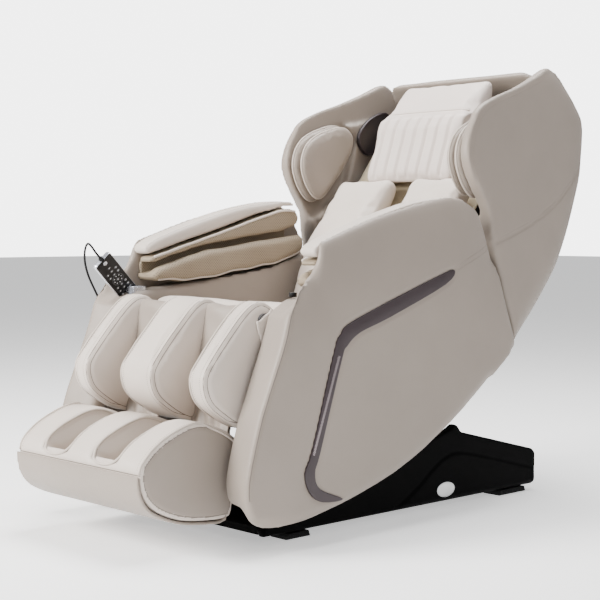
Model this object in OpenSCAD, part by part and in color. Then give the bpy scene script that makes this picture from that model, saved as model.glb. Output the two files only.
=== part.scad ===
// Massage chair: a tilting seat unit on a floor base, with a reclining back, a lifting leg
// rest with an extending foot box, a roller carriage in the back and a wired remote.
// Frame: +Z up, the chair faces -Y and +X is the sitter's left. The origin is on the floor
// under the middle of the overall box. Side outlines are lists of [y, z].

/* [Overall] */
// Half width over the arm shells
half_w = 390; // [386:1:394]
// Depth of an arm shell's outer panel
panel_t = 38; // [30:1:38]
// Half width of the seat cushion
seat_half = 256; // [230:1:256]
// Half width of the leg rest
calf_half = 260; // [240:1:260]
// Half width of the foot box
foot_half = 250; // [240:1:252]
// Half width of the base over its side covers
base_half = 290; // [288:1:292]

/* [Wells and channels] */
// Half width of the wall between the two calf channels
calf_mid = 64; // [55:1:66]
// Inner face of the outer calf walls
calf_wall_in = 200; // [195:1:210]
// Half width of the wall between the two foot channels
foot_mid = 50; // [45:1:52]
// Inner face of the outer foot walls
foot_wall_in = 150; // [148:1:155]

/* [Drive] */
// Thickness of the steel side plates
plate_t = 8; // [6:1:8]
// Radius of the tilt axle
axle_r = 10; // [8:0.5:11]
// Radial running clearance of shafts in their bores
run = 0.05; // [0.02:0.01:0.1]
// Angle of the roller track from upright
track_tilt = 36; // [35:0.5:37]

/* [Remote] */
// Width of the remote
remote_wide = 57; // [55:1:58]
// Length of the remote
remote_long = 160; // [158:1:161]
// Thickness of the remote
remote_thick = 15; // [12:1:15]
// Diameter of the remote's cord
cord_d = 6; // [5:0.5:7]

/* [Hidden] */
$fn = 48;

// Hinge centres [y, z]: seat tilt, back recline, knee
tilt_at = [180, 240];
recline_at = [290, 425];
knee_at = [-400, 520];

// Tilt actuator's lower and upper pins, and the recline actuator's line
tilt_foot = [-290, 80];
tilt_head = [-60, 300];
recline_z = 310;
recline_x = 100;
lever_r = 120;
lever_angle = 22.5;

plate_in = 264;
plate_out = plate_in + plate_t;
arm_in = 276;
panel_in = half_w - panel_t;
band_in = 276;
cover_in = 266;

// Smooth closed outline through a few points
function wrap(p, i) = p[(i + len(p)) % len(p)];
function blend4(a, b, c, d, t) = 0.5 * (2 * b + (c - a) * t + (2 * a - 5 * b + 4 * c - d) * t * t
    + (3 * b - a - 3 * c + d) * t * t * t);
function smooth(p, n = 4) = [for (i = [0:len(p) - 1], k = [0:n - 1])
    blend4(wrap(p, i - 1), wrap(p, i), wrap(p, i + 1), wrap(p, i + 2), k / n)];
function moved(p, d) = [for (q = p) q + d];
function reversed(p) = [for (i = [len(p) - 1:-1:0]) p[i]];
function unit(v) = v / norm(v);

// Arm shell, seen from the side
arm_front = [[-550, 112], [-557, 172], [-524, 296], [-492, 376], [-449, 476], [-417, 574]];
arm_outline = concat(arm_front, [[-366, 650], [-322, 698], [-256, 724], [-76, 778], [104, 814],
    [170, 819], [225, 805], [266, 778], [306, 695], [352, 554], [396, 440], [380, 412],
    [290, 345], [138, 241], [-66, 139], [-305, 76], [-430, 60], [-514, 70]]);
band_depth = 45;
arm_body_outline = [[-458, 304], [-424, 421], [-394, 482], [-369, 566], [-368, 577], [-312, 580],
    [-296, 585], [-200, 589], [120, 625], [228, 663], [264, 680], [300, 560], [300, 440],
    [262, 340], [-100, 300]];
pocket_floor = [[-296, 587], [-200, 591], [120, 627], [228, 665], [228, 688], [120, 652],
    [-200, 616], [-302, 604]];
pocket_wall = [[-300, 606], [-200, 618], [120, 654], [228, 690], [222, 788], [153, 792], [-66, 728],
    [-176, 699], [-296, 662], [-304, 640]];
pocket_flap = [[-306, 640], [-296, 630], [-121, 676], [153, 711], [226, 732], [222, 788],
    [153, 792], [-66, 728], [-176, 699], [-296, 662]];
top_pad_outline = [[-310, 673], [-318, 686], [-302, 702], [-256, 722], [-176, 748], [-76, 777],
    [14, 799], [104, 813], [169, 818], [212, 812], [220, 804], [153, 799], [-66, 735],
    [-176, 706], [-290, 673]];
trim_outline = [[134, 633], [100, 597], [-102, 524], [-206, 492], [-250, 462], [-268, 430],
    [-336, 224], [-354, 176], [-338, 136], [-262, 103], [-329, 104], [-370, 130], [-386, 178],
    [-362, 232], [-293, 450], [-272, 490], [-222, 523], [62, 616]];
light_outline = [[-275, 438], [-357, 218], [-362, 220], [-280, 440]];

// Base, seen from the side
base_outline = [[-421, 18], [-424, 34], [-412, 44], [240, 208], [262, 219], [274, 212], [286, 196],
    [596, 118], [609, 106], [609, 28], [600, 18]];

// Back, seen from the side: the outer side panels, and the rear wall's two faces
back_outline = [[316, 700], [340, 628], [363, 556], [390, 492], [410, 446], [424, 440], [554, 570], [634, 680], [714, 850],
    [738, 940], [750, 1050], [690, 1124], [612, 1187], [504, 1118], [430, 1092], [339, 1062],
    [262, 1028], [222, 945], [244, 870], [300, 790]];
back_rear = [[424, 440], [554, 570], [634, 680], [714, 850], [738, 940], [750, 1050],
    [690, 1124], [612, 1187]];
back_inner = [[590, 1168], [672, 1104], [724, 1042], [712, 944], [690, 858], [612, 692],
    [534, 582], [406, 452]];
liner_front = [[222, 478], [228, 560], [268, 664], [358, 772], [420, 846], [578, 1048]];
liner_t = [5, -4];
pad_outline = [[156, 492], [168, 580], [215, 700], [290, 796], [362, 872], [398, 858],
    [396, 828], [340, 758], [258, 664], [216, 560], [212, 486]];
pillow_outline = [[384, 884], [404, 866], [424, 880], [466, 946], [556, 1076], [576, 1116],
    [576, 1150], [558, 1158], [526, 1132], [480, 1086], [440, 1046], [416, 980]];
wing_pocket = [[150, 770], [150, 1030], [260, 1036], [330, 1048], [440, 1066], [486, 1010],
    [450, 880], [330, 770]];
shoulder_outline = [[246, 850], [226, 920], [250, 988], [320, 1030], [412, 1048], [456, 1018],
    [440, 960], [380, 884], [312, 820]];
speaker_outline = [[480, 1010], [520, 960], [600, 990], [628, 1060], [600, 1100], [520, 1070]];

// Leg rest and foot box, seen from the side
calf_outline = [[-400, 570], [-446, 550], [-506, 490], [-562, 424], [-576, 388], [-560, 338],
    [-506, 296], [-472, 288], [-442, 312], [-428, 400], [-372, 478], [-350, 512], [-358, 548]];
calf_pad_outline = [[-430, 556], [-446, 540], [-466, 480], [-482, 400], [-478, 320], [-468, 300],
    [-450, 318], [-440, 400], [-430, 470]];
slide_at = [-385, 495];
slide_dir = unit([-0.26, -0.966]);
foot_skin = [[-752, 196], [-746, 150], [-714, 108], [-640, 75], [-560, 62], [-509, 61],
    [-496, 80], [-486, 200]];
foot_skin_in = [[-492, 200], [-501, 86], [-512, 68], [-560, 69], [-638, 82], [-710, 114],
    [-740, 152], [-746, 196]];
foot_outline = [[-744, 196], [-738, 156], [-708, 117], [-637, 84], [-560, 71], [-514, 70],
    [-504, 88], [-494, 200], [-488, 250], [-530, 280], [-591, 298], [-680, 268], [-734, 226]];
foot_floor = [[-744, 196], [-738, 156], [-708, 117], [-637, 84], [-560, 71], [-514, 70],
    [-504, 88], [-500, 108], [-560, 112], [-660, 134], [-690, 160], [-696, 204], [-700, 240],
    [-734, 226]];
foot_roller_at = [-600, 126];

// Remote: its size, the place of its lower end, and its width, length and key-face directions
remote_size = [remote_wide, remote_long, remote_thick];
remote_at = [-332, -350, 566];
remote_l = unit([0.30, -0.76, 0.58]);
remote_w0 = [0.235, 0.646, 0.726];
remote_w = unit(remote_w0 - (remote_w0 * remote_l) * remote_l);
remote_n = cross(remote_w, remote_l);

// Cord from the remote's top end, over the arm and down its outer side to the gland
cord_path = concat([for (d = [3, 11, 20, 28]) remote_at + (remote_long + d) * remote_l],
    [[-274, -499, 681], [-276, -503, 688], [-283, -504, 694], [-294, -501, 698],
    [-308, -495, 699], [-323, -488, 697], [-338, -481, 692], [-352, -474, 684],
    [-365, -467, 673], [-377, -459, 659], [-387, -450, 643], [-395, -440, 626],
    [-401, -429, 608], [-405, -416, 588], [-405, -400, 559], [-405, -383, 526],
    [-405, -366, 491], [-405, -350, 452], [-405, -335, 412], [-405, -322, 370],
    [-405, -311, 328], [-405, -300, 288], [-405, -287, 256], [-405, -269, 238],
    [-405, -250, 236], [-405, -236, 250], [-405, -229, 272], [-404, -226, 300],
    [-404, -225, 324]]);
shortcut_at = [308, -346, 566];
gland_at = [-404, -225, 324];

module side_slab(outline, x0, x1) {
    translate([x0, 0, 0])
        rotate([90, 0, 90])
            linear_extrude(x1 - x0)
                polygon(outline);
}

module front_slab(outline, y0, y1) {
    translate([0, y1, 0])
        rotate([90, 0, 0])
            linear_extrude(y1 - y0)
                polygon(outline);
}

module both_sides() {
    children();
    mirror([1, 0, 0])
        children();
}

module block(x, y, z) {
    translate([x[0], y[0], z[0]])
        cube([x[1] - x[0], y[1] - y[0], z[1] - z[0]]);
}

module x_rod(at, r, x0, x1) {
    translate([x0, at[0], at[1]])
        rotate([0, 90, 0])
            cylinder(h = x1 - x0, r = r);
}

// Rod in the y-z plane from point a to point b
module yz_rod(a, b, r, x = 0) {
    translate([x, a[0], a[1]])
        rotate([-atan2(b[0] - a[0], b[1] - a[1]), 0, 0])
            cylinder(h = norm(b - a), r = r);
}

// ---------------------------------------------------------------- base
module base_upright() {
    difference() {
        union() {
            side_slab([[120, 44], [240, 44], [202, 240], [158, 240]], 248, 258);
            x_rod(tilt_at, 24, 248, 258);
        }
        x_rod(tilt_at, axle_r, 240, 262);
    }
}

module base_frame() {
    color("dimgray") {
        both_sides() {
            block([222, 262], [-330, 530], [14, 54]);
            base_upright();
            x_rod(tilt_at, axle_r, 246, plate_out + 2);
            difference() {
                side_slab([[520, 20], [590, 20], [590, 50], [520, 50]], 182, 188);
                x_rod([572, 32], 5, 180, 190);
            }
            x_rod([572, 32], 5, 146, 190);
            difference() {
                block([23, 29], [-330, -262], [50, 102]);
                x_rod(tilt_foot, 6 + run, 20, 30);
            }
        }
        block([-223, 223], [-330, -290], [14, 54]);
        block([-223, 223], [120, 160], [14, 54]);
        block([-223, 223], [490, 530], [14, 54]);
        block([-222, 222], [-291, 491], [14, 17]);
    }
}

module base_cover() {
    difference() {
        side_slab(base_outline, cover_in, base_half);
        side_slab([[-412, 24], [-412, 36], [240, 200], [262, 210], [282, 188], [596, 110],
            [602, 102], [602, 24]], cover_in - 1, base_half - 4);
    }
}

module base_cover_left() {
    color("black")
        base_cover();
}

module base_cover_right() {
    color("black")
        mirror([1, 0, 0])
            base_cover();
}

module base_front_cover() {
    color("black")
        difference() {
            side_slab([[-416, 20], [-416, 38], [80, 160], [80, 156], [-412, 35], [-412, 20]],
                -262, 262);
            block([-48, 48], [-380, -200], [20, 140]);
        }
}

module base_rear_cover() {
    color("black")
        difference() {
            side_slab([[300, 186], [598, 111], [604, 104], [604, 20], [600, 20], [600, 102],
                [300, 182]], -264, 264);
            block([-144, -108], [590, 610], [36, 92]);
            for (x = [-240, 0, 240], z = [30, 90])
                translate([x, 610, z])
                    rotate([90, 0, 0])
                        cylinder(h = 20, r = 2 + run);
        }
}

module cover_screws() {
    color("gray")
        for (x = [-240, 0, 240], z = [30, 90])
            translate([x, 596, z])
                rotate([-90, 0, 0]) {
                    cylinder(h = 9, r = 2);
                    translate([0, 0, 8])
                        cylinder(h = 2, r = 5);
                }
}

module floor_feet() {
    color("black")
        for (side = [-1, 1], y = [[-345, -267], [456, 571]])
            translate([side * 256, 0, 0])
                block([-30, 30], y, [0, 14]);
}

module side_badges() {
    color("silver")
        both_sides()
            translate([base_half, 219, 48])
                rotate([0, 90, 0])
                    linear_extrude(2)
                        polygon([for (a = [0:10:350]) [18 * cos(a), 30 * sin(a)]]);
}

module wheel() {
    difference() {
        x_rod([572, 32], 28, 150, 176);
        x_rod([572, 32], 5 + run, 148, 178);
    }
}

module transport_wheel_left() {
    color("dimgray")
        wheel();
}

module transport_wheel_right() {
    color("dimgray")
        mirror([1, 0, 0])
            wheel();
}

module control_box() {
    color("gray") {
        block([-190, -50], [-120, 60], [17, 92]);
        block([-196, -44], [-60, 0], [17, 20]);
    }
}

module air_pump() {
    color("gray") {
        block([50, 190], [-120, 20], [17, 70]);
        translate([120, -50, 70])
            cylinder(h = 22, r = 45);
        for (y = [-90, -60, -30])
            x_rod([y, 50], 5, 36, 51);
    }
}

// Mains inlet and switch frame in one moulding, with the socket's three pins
module power_inlet() {
    color("black") {
        difference() {
            union() {
                block([-150, -102], [604, 606.5], [32, 96]);
                block([-143, -109], [574, 605], [37, 91]);
            }
            block([-140, -112], [584, 608], [40, 61]);
            block([-134, -118], [580, 608], [64, 90]);
        }
        for (p = [[-133, 48], [-119, 48], [-126, 54]])
            block([p[0] - 1, p[0] + 1], [582, 600], [p[1] - 2.5, p[1] + 2.5]);
    }
}

module power_rocker() {
    color("darkred")
        side_slab([[595, 69], [595, 85], [603.5, 88], [606, 77], [607.5, 66.5]], -132, -120);
}

// ---------------------------------------------------------------- seat unit
module seat_plate() {
    difference() {
        union() {
            side_slab([[-345, 300], [-120, 300], [120, 300], [162, 232], [198, 232], [240, 300],
                [332, 316], [314, 432], [266, 432], [262, 352], [-308, 352], [-384, 532],
                [-416, 508], [-352, 340]], plate_in, plate_out);
            x_rod(tilt_at, 24, plate_in, plate_out);
            x_rod(recline_at, 26, plate_in, plate_out);
            x_rod(knee_at, 20, plate_in, plate_out);
        }
        x_rod(tilt_at, axle_r + run, plate_in - 1, plate_out + 1);
        x_rod(recline_at, 12 + run, plate_in - 1, plate_out + 1);
        x_rod(knee_at, 8 + run, plate_in - 1, plate_out + 1);
    }
}

module seat_frame() {
    color("dimgray") {
        both_sides() {
            seat_plate();
            block([20, 26], [-95, -40], [284, 334]);
        }
        x_rod(tilt_head, 6, -25, 25);
        for (y = [-340, -95, 196])
            block([-265, 265], [y, y + 30], [330, 352]);
        block([-258, 258], [-330, 226], [352, 356]);
    }
}

module seat_airbags() {
    color("tan")
        both_sides()
            side_slab([[-270, 357], [-290, 366], [-270, 376], [120, 376], [140, 366], [120, 357]],
                16, 232);
}

module seat_cushion() {
    color("wheat")
        difference() {
            side_slab(smooth([[-330, 380], [-337, 470], [-334, 540], [-296, 560], [-150, 536],
                [60, 492], [138, 476], [146, 430], [138, 380], [-100, 379]], 3),
                -seat_half, seat_half);
            block([-300, 300], [-400, 300], [300, 378]);
        }
}

// ---------------------------------------------------------------- arms
module arm_shell() {
    difference() {
        union() {
            side_slab(smooth(arm_outline, 3), panel_in, half_w);
            side_slab(concat(arm_front, reversed(moved(arm_front, [band_depth, 0]))),
                band_in, panel_in + 1);
        }
        side_slab(smooth(trim_outline), half_w - 2, half_w + 1);
    }
}

module arm_shell_left() {
    color("tan")
        arm_shell();
}

module arm_shell_right() {
    color("tan")
        difference() {
            mirror([1, 0, 0])
                arm_shell();
            remote_space(3, 3);
        }
}

module arm_bodies() {
    color("tan")
        difference() {
            both_sides()
                side_slab(arm_body_outline, arm_in, panel_in);
            remote_space(3, 3);
            block([-351, -293], [-369, -313], [540, 600]);
            translate([shortcut_at[0], shortcut_at[1], shortcut_at[2] - 8])
                cylinder(h = 30, r = 20);
        }
}

module arm_pockets() {
    color("darkkhaki")
        both_sides() {
            side_slab(pocket_floor, 268, panel_in);
            side_slab(pocket_wall, panel_in - 12, panel_in);
            side_slab(pocket_flap, 276, panel_in - 11);
        }
}

module arm_top_pad() {
    side_slab(smooth(top_pad_outline, 2), 292, panel_in);
}

module arm_top_pad_left() {
    color("wheat")
        arm_top_pad();
}

module arm_top_pad_right() {
    color("wheat")
        mirror([1, 0, 0])
            arm_top_pad();
}

module side_trims() {
    color("#4a3f43")
        both_sides() {
            side_slab(smooth(trim_outline), half_w - 2, half_w + 1);
            side_slab(light_outline, half_w, half_w + 2);
        }
}

// ---------------------------------------------------------------- remote and arm controls
module remote_frame() {
    multmatrix([
        [remote_w[0], remote_l[0], remote_n[0], remote_at[0]],
        [remote_w[1], remote_l[1], remote_n[1], remote_at[1]],
        [remote_w[2], remote_l[2], remote_n[2], remote_at[2]],
        [0, 0, 0, 1]])
        children();
}

// The remote's own space, grown by a side clearance and an end clearance
module remote_space(side, end) {
    remote_frame()
        translate([-remote_size[0] / 2 - side, -end, -remote_size[2] / 2 - side])
            cube([remote_size[0] + 2 * side, remote_size[1] + end, remote_size[2] + 2 * side]);
}

module remote_dock() {
    color("lightsteelblue")
        difference() {
            block([-350, -294], [-368, -314], [541, 582]);
            remote_space(1.5, 1.5);
        }
}

module remote_body() {
    color("black")
        remote_frame()
            difference() {
                union() {
                    translate([-remote_size[0] / 2, 0, -remote_size[2] / 2])
                        cube(remote_size);
                    translate([0, remote_size[1] - 1, 0])
                        rotate([-90, 0, 0])
                            cylinder(h = 6, r = 6);
                }
                translate([-24, 12, remote_size[2] / 2 - 1.5])
                    cube([48, 120, 3]);
                translate([0, 146, remote_size[2] / 2 - 3])
                    cylinder(h = 5, r = 6.5);
                translate([0, 142, 0])
                    rotate([-90, 0, 0])
                        cylinder(h = 30, r = cord_d / 2 + 0.6);
            }
}

module remote_keypad() {
    color("dimgray")
        remote_frame()
            translate([-23.7, 12.3, remote_size[2] / 2 - 1.4])
                cube([47.4, 119.4, 1.8]);
}

module power_key() {
    color("silver")
        remote_frame()
            translate([0, 146, remote_size[2] / 2 - 1.6])
                cylinder(h = 3, r = 6);
}

module shortcut_panel() {
    color("silver")
        translate(shortcut_at)
            difference() {
                cylinder(h = 18, r = 19.5);
                translate([0, 0, 8])
                    cylinder(h = 12, r = 10);
            }
}

module shortcut_button() {
    color("black")
        translate(shortcut_at + [0, 0, 12])
            cylinder(h = 8, r = 9.6);
}

module cord_gland() {
    color("black")
        translate(gland_at) {
            difference() {
                union() {
                    cylinder(h = 26, r1 = 5, r2 = 6.4);
                    translate([3, -11, 20])
                        cube([11, 22, 28]);
                    translate([-6, -9, 20])
                        cube([12, 18, 26]);
                }
                translate([13.8, -20, -5])
                    cube([10, 40, 60]);
            }
        }
}

// Ring of points around the cord at point i, square to its run
function cord_dir(i) = unit(cord_path[min(i + 1, len(cord_path) - 1)] - cord_path[max(i - 1, 0)]);
function cord_side(i) = unit(cross(cord_dir(i), [0.31, 0.9, 0.31]));
function cord_ring(i, n) = [for (k = [0:n - 1]) cord_path[i] + cord_d / 2
    * (cos(360 * k / n) * cord_side(i) + sin(360 * k / n) * cross(cord_dir(i), cord_side(i)))];

module remote_cord() {
    sides = 8;
    rings = len(cord_path);
    color("black")
        polyhedron(
            points = [for (i = [0:rings - 1]) each cord_ring(i, sides)],
            faces = concat(
                [[for (k = [0:sides - 1]) k]],
                [for (i = [0:rings - 2], k = [0:sides - 1])
                    [i * sides + k, (i + 1) * sides + k, (i + 1) * sides + (k + 1) % sides,
                        i * sides + (k + 1) % sides]],
                [[for (k = [sides - 1:-1:0]) (rings - 1) * sides + k]]));
}

// ---------------------------------------------------------------- actuators
module tilt_actuator() {
    along = unit(tilt_head - tilt_foot);
    color("silver") {
        difference() {
            union() {
                x_rod(tilt_foot, 14, -16, 16);
                yz_rod(tilt_foot + along * 10, tilt_foot + along * 236, 22);
            }
            yz_rod(tilt_foot + along * 130, tilt_foot + along * 240, 10.5);
        }
        x_rod(tilt_foot, 6, -30, 30);
        yz_rod(tilt_foot + along * 60, tilt_foot + along * 170, 20, 38);
        yz_rod(tilt_foot + along * 60, tilt_foot + along * 80, 20, 20);
    }
}

module tilt_rod() {
    along = unit(tilt_head - tilt_foot);
    color("silver")
        difference() {
            union() {
                yz_rod(tilt_foot + along * 140, tilt_head - along * 10, 10);
                x_rod(tilt_head, 17, -12, 12);
            }
            x_rod(tilt_head, 11, -13, 13);
        }
}

module recline_actuator() {
    color("silver") {
        difference() {
            yz_rod([-50, recline_z], [184, recline_z], 19, recline_x);
            yz_rod([50, recline_z], [190, recline_z], 8.5, recline_x);
        }
        yz_rod([-30, recline_z - 20], [90, recline_z - 20], 19, recline_x + 36);
        block([recline_x, recline_x + 36], [-30, -10], [recline_z - 30, recline_z]);
    }
}

// Lever pin of the back, at rest and at any recline
function lever_pin(a) = recline_at + lever_r * [sin(a), -cos(a)];

module recline_rod() {
    pin = lever_pin(lever_angle);
    color("silver")
        difference() {
            union() {
                yz_rod([150, recline_z], [pin[0] - 24, recline_z], 8, recline_x);
                for (x = [recline_x - 15, recline_x + 8])
                    block([x, x + 7], [pin[0] - 30, pin[0] + 14], [recline_z - 18, recline_z + 18]);
                block([recline_x - 15, recline_x + 15], [pin[0] - 30, pin[0] - 22],
                    [recline_z - 18, recline_z + 18]);
            }
            x_rod([pin[0], recline_z], 12.5, recline_x - 20, recline_x + 20);
        }
}

module leg_actuator() {
    color("silver") {
        yz_rod([-290, 300], [-110, 300], 18, -100);
        yz_rod([-230, 280], [-120, 280], 18, -140);
        block([-140, -100], [-200, -180], [272, 300]);
        block([-106, -94], [-310, -290], [292, 329.8]);
    }
}

// ---------------------------------------------------------------- back
// Frame along the roller track: local z runs up the track, local y to the rear
module track_frame() {
    translate([0, 330, 560])
        rotate([-track_tilt, 0, 0])
            children();
}

module back_frame() {
    lever_side = [cos(lever_angle), sin(lever_angle)];
    color("dimgray") {
        both_sides() {
            difference() {
                union() {
                    track_frame()
                        block([225, 245], [20, 60], [-120, 540]);
                    x_rod(recline_at, 26, 224, 246);
                }
                x_rod(recline_at, 11, 220, 250);
            }
            track_frame()
                difference() {
                    block([150, 170], [-10, 24], [-110, 534]);
                    block([149, 160], [0, 10], [-80, 506]);
                }
        }
        track_frame() {
            block([-228, 228], [22, 58], [-116, -84]);
            block([-228, 228], [22, 58], [508, 536]);
        }
        x_rod(recline_at, 12, -plate_out - 2, plate_out + 2);
        x_rod(recline_at, 18, recline_x - 5, recline_x + 5);
        side_slab([recline_at + 16 * lever_side, recline_at - 16 * lever_side,
            lever_pin(lever_angle) - 10 * lever_side, lever_pin(lever_angle) + 10 * lever_side],
            recline_x - 4, recline_x + 4);
        x_rod(lever_pin(lever_angle), 11, recline_x - 5, recline_x + 5);
        x_rod(lever_pin(lever_angle), 6, recline_x - 15, recline_x + 15);
    }
}

module back_shell() {
    color("tan")
        intersection() {
            side_slab(concat(back_rear, back_inner), -299, 299);
            front_slab([[-299, 400], [299, 400], [299, 1110], [282, 1156], [240, 1180], [200, 1190],
                [-200, 1190], [-240, 1180], [-282, 1156], [-299, 1110]], 300, 800);
        }
}

module back_side() {
    difference() {
        intersection() {
            side_slab(smooth(back_outline, 2), 300, 384);
            front_slab([[299, 400], [380, 400], [378, 620], [372, 760], [362, 900], [346, 1030],
                [330, 1100], [299, 1150]], 100, 800);
        }
        side_slab(wing_pocket, 298, 328);
    }
}

module back_side_left() {
    color("tan")
        back_side();
}

module back_side_right() {
    color("tan")
        mirror([1, 0, 0])
            back_side();
}

module shoulder_pads() {
    color("tan")
        both_sides()
            side_slab(smooth(shoulder_outline, 3), 268, 327);
}

module speakers() {
    color("#3a3336")
        both_sides()
            side_slab(smooth(speaker_outline, 3), 284, 299);
}

module back_pads() {
    color("wheat")
        both_sides()
            side_slab(smooth(pad_outline, 3), 30, 254);
}

module back_liner() {
    color("darkkhaki")
        side_slab(concat(liner_front, reversed(moved(liner_front, liner_t))), -256, 256);
}

module head_pillow() {
    color("mistyrose")
        side_slab(smooth(pillow_outline, 3), -165, 165);
}

// ---------------------------------------------------------------- roller carriage
module carriage_frame() {
    color("dimgray")
        track_frame() {
            both_sides() {
                difference() {
                    block([126, 134], [-24, 46], [0, 120]);
                    translate([125, 0, 36])
                        rotate([0, 90, 0])
                            cylinder(h = 10, r = 8 + run);
                }
                for (s = [16, 104])
                    translate([133, 5, s])
                        rotate([0, 90, 0])
                            cylinder(h = 24, r = 4.5);
            }
            translate([-127, 0, 90])
                rotate([0, 90, 0])
                    cylinder(h = 254, r = 6);
            block([-134, 134], [40, 46], [0, 120]);
            block([-60, 60], [46, 80], [20, 100]);
        }
}

module kneading_shaft() {
    color("silver")
        track_frame()
            translate([0, 0, 36]) {
                translate([-133.5, 0, 0])
                    rotate([0, 90, 0])
                        cylinder(h = 267, r = 8);
                for (side = [-1, 1])
                    translate([side * 68 - 7, side * 3, 0])
                        rotate([0, 90, 0])
                            cylinder(h = 14, r = 18);
            }
}

module massage_arm() {
    color("darkgray")
        track_frame()
            difference() {
                union() {
                    translate([62, 0, 36])
                        rotate([0, 90, 0])
                            cylinder(h = 12, r = 34);
                    translate([62, 0, 90])
                        rotate([0, 90, 0])
                            cylinder(h = 12, r = 14);
                    block([62, 74], [-12, 12], [60, 90]);
                    block([62, 74], [-60, -20], [26, 46]);
                    translate([62, -54, 36])
                        rotate([0, 90, 0])
                            cylinder(h = 12, r = 10);
                }
                translate([60, -54, 36])
                    rotate([0, 90, 0])
                        cylinder(h = 16, r = 5 + run);
                translate([60, 0, 36])
                    rotate([0, 90, 0])
                        cylinder(h = 16, r = 27);
                translate([60, 0, 90])
                    rotate([0, 90, 0])
                        cylinder(h = 16, r = 6 + run);
            }
}

module massage_arm_left() {
    massage_arm();
}

module massage_arm_right() {
    mirror([1, 0, 0])
        massage_arm();
}

module massage_roller() {
    color("dimgray")
        track_frame()
            translate([0, -54, 36]) {
                for (x = [38, 76])
                    translate([x, 0, 0])
                        rotate([0, 90, 0])
                            cylinder(h = 22, r = 24);
                translate([36, 0, 0])
                    rotate([0, 90, 0])
                        cylinder(h = 64, r = 5);
            }
}

module massage_roller_left() {
    massage_roller();
}

module massage_roller_right() {
    mirror([1, 0, 0])
        massage_roller();
}

// ---------------------------------------------------------------- leg rest
module calf_walls() {
    color("wheat")
        difference() {
            union() {
                both_sides()
                    side_slab(smooth(calf_outline, 3), calf_wall_in, calf_half);
                side_slab(smooth(calf_outline, 3), -calf_mid, calf_mid);
            }
            x_rod(knee_at, 9, -300, 300);
        }
}

module calf_back_pads() {
    color("tan")
        both_sides()
            side_slab(smooth(calf_pad_outline, 2), calf_mid + 1, calf_wall_in - 1);
}

module calf_shell() {
    color("gray")
        both_sides()
            side_slab([[-362, 500], [-366, 500], [-418, 310], [-414, 310]], calf_mid + 1,
                calf_wall_in - 1);
}

module legrest_frame() {
    color("dimgray") {
        x_rod(knee_at, 8, -plate_out - 2, plate_out + 2);
        both_sides() {
            hull() {
                x_rod(knee_at, 14, 186, 194);
                x_rod(slide_at, 14, 186, 194);
            }
            x_rod(slide_at, 11, 67, 190);
            difference() {
                yz_rod(slide_at, slide_at + slide_dir * 200, 13, 130);
                yz_rod(slide_at + slide_dir * 24, slide_at + slide_dir * 210, 9.3, 130);
            }
        }
    }
}

// ---------------------------------------------------------------- foot box
module foot_shell() {
    color("gray")
        side_slab(concat(foot_skin, foot_skin_in), -foot_half, foot_half);
}

module foot_pad() {
    color("wheat")
        difference() {
            union() {
                both_sides()
                    side_slab(foot_outline, foot_wall_in, foot_half);
                side_slab(foot_outline, -foot_mid, foot_mid);
                side_slab(foot_floor, -foot_wall_in - 1, foot_wall_in + 1);
            }
            both_sides()
                block([60, 140], [-624, -576], [100, 160]);
            x_rod(foot_roller_at, 5.5, -147, 147);
        }
}

module foot_frame() {
    color("dimgray")
        both_sides() {
            yz_rod(slide_at + slide_dir * 40, slide_at + slide_dir * 330, 9, 130);
            block([100, 160], [-484, -448], [160, 200]);
        }
}

module foot_rollers() {
    color("gray") {
        x_rod(foot_roller_at, 5, -146, 146);
        both_sides()
            for (x = [62, 88, 114])
                x_rod(foot_roller_at, 20, x, x + 22);
    }
}

base_frame();
base_cover_left();
base_cover_right();
base_front_cover();
base_rear_cover();
cover_screws();
floor_feet();
side_badges();
transport_wheel_left();
transport_wheel_right();
control_box();
air_pump();
power_inlet();
power_rocker();
tilt_actuator();
tilt_rod();
recline_actuator();
recline_rod();
leg_actuator();
seat_frame();
seat_airbags();
seat_cushion();
arm_shell_left();
arm_shell_right();
arm_bodies();
arm_pockets();
arm_top_pad_left();
arm_top_pad_right();
side_trims();
remote_dock();
shortcut_panel();
shortcut_button();
cord_gland();
remote_body();
remote_keypad();
power_key();
remote_cord();
back_frame();
back_shell();
back_side_left();
back_side_right();
shoulder_pads();
speakers();
back_pads();
back_liner();
head_pillow();
carriage_frame();
kneading_shaft();
massage_arm_left();
massage_arm_right();
massage_roller_left();
massage_roller_right();
calf_walls();
calf_back_pads();
calf_shell();
legrest_frame();
foot_shell();
foot_pad();
foot_frame();
foot_rollers();
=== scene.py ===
import math

import bpy
import numpy as np
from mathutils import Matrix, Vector
from mathutils.bvhtree import BVHTree


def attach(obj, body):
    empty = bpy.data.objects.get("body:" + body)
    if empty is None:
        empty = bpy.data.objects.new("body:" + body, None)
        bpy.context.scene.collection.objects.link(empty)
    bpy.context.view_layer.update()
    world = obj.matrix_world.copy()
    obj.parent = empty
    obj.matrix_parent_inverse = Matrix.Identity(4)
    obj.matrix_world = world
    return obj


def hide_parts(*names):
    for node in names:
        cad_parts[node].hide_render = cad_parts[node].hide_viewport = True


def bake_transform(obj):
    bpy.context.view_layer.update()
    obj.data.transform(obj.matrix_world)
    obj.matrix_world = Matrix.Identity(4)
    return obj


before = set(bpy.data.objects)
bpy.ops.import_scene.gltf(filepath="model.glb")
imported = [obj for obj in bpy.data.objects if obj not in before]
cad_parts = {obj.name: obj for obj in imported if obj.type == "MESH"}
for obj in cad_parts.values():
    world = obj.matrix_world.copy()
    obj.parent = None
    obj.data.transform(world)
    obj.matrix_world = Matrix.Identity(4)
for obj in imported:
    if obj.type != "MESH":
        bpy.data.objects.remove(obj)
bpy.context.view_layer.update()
scene = bpy.context.scene

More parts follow.
